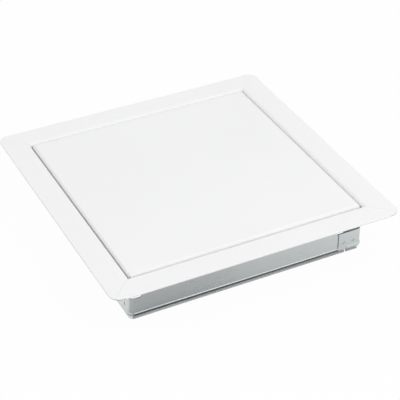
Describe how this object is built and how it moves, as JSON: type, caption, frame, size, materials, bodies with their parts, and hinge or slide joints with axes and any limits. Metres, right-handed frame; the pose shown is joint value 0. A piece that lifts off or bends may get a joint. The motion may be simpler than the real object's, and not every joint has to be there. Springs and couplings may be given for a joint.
{
  "type": "ceiling access panel",
  "caption": "Square ceiling access panel: flanged sheet steel frame with a flush hinged door, sprung hinge pins and a hidden magnetic push latch.",
  "frame": {"origin": "centre of the bounding box's underside, on the plane of the frame's lower edge", "axes": "+Z out of the face of the door, as it lies in the picture; +Y from the front side to the back; +X towards the hinge side. In a ceiling the panel is turned over, with +Z down into the room."},
  "size_m": [0.25, 0.25, 0.0425],
  "materials": {
    "white_coat": "smooth white coil coating, satin",
    "zinc_steel": "galvanised, dull",
    "bright_steel": "bright steel wire and rod",
    "grip_vinyl": "dipped vinyl, soft sheen",
    "latch_plastic": "moulded, fine matt",
    "magnet_nickel": "nickel plate"
  },
  "bodies": {
    "frame": {"frame_front": "white_coat", "frame_right": "white_coat", "frame_back": "white_coat", "frame_left": "white_coat", "corner_rivets": "zinc_steel", "latch_bracket": "zinc_steel", "bracket_rivets": "zinc_steel", "latch_case": "latch_plastic", "latch_cap": "latch_plastic", "latch_screws": "bright_steel", "latch_spring": "bright_steel"},
    "door": {"door_panel": "white_coat", "strike_plate": "zinc_steel", "hinge_bracket_front": "zinc_steel", "hinge_bracket_back": "zinc_steel", "pin_spring_front": "bright_steel", "pin_spring_back": "bright_steel"},
    "front_pin": {"hinge_pin_front": "bright_steel", "pin_clip_front": "bright_steel", "pin_grip_front": "grip_vinyl"},
    "back_pin": {"hinge_pin_back": "bright_steel", "pin_clip_back": "bright_steel", "pin_grip_back": "grip_vinyl"},
    "plunger": {"latch_plunger": "latch_plastic", "latch_magnet": "magnet_nickel"}
  },
  "joints": [
    {"name": "door_hinge", "type": "hinge", "parent": "frame", "child": "door", "pos_m": [0.0876, 0, 0.0365], "axis": [0, 1, 0], "range_deg": [0, 130]},
    {"name": "front_pin_slide", "type": "slide", "parent": "door", "child": "front_pin", "axis": [0, 1, 0], "range_m": [0, 0.005], "stiffness_N_per_m": 250, "springref_m": -0.012, "deforming": ["pin_spring_front"]},
    {"name": "back_pin_slide", "type": "slide", "parent": "door", "child": "back_pin", "axis": [0, -1, 0], "range_m": [0, 0.005], "stiffness_N_per_m": 250, "springref_m": -0.012, "deforming": ["pin_spring_back"]},
    {"name": "plunger_press", "type": "slide", "parent": "frame", "child": "plunger", "axis": [0, 0, -1], "range_m": [0, 0.003], "stiffness_N_per_m": 180, "springref_m": -0.01, "deforming": ["latch_spring"]}
  ]
}
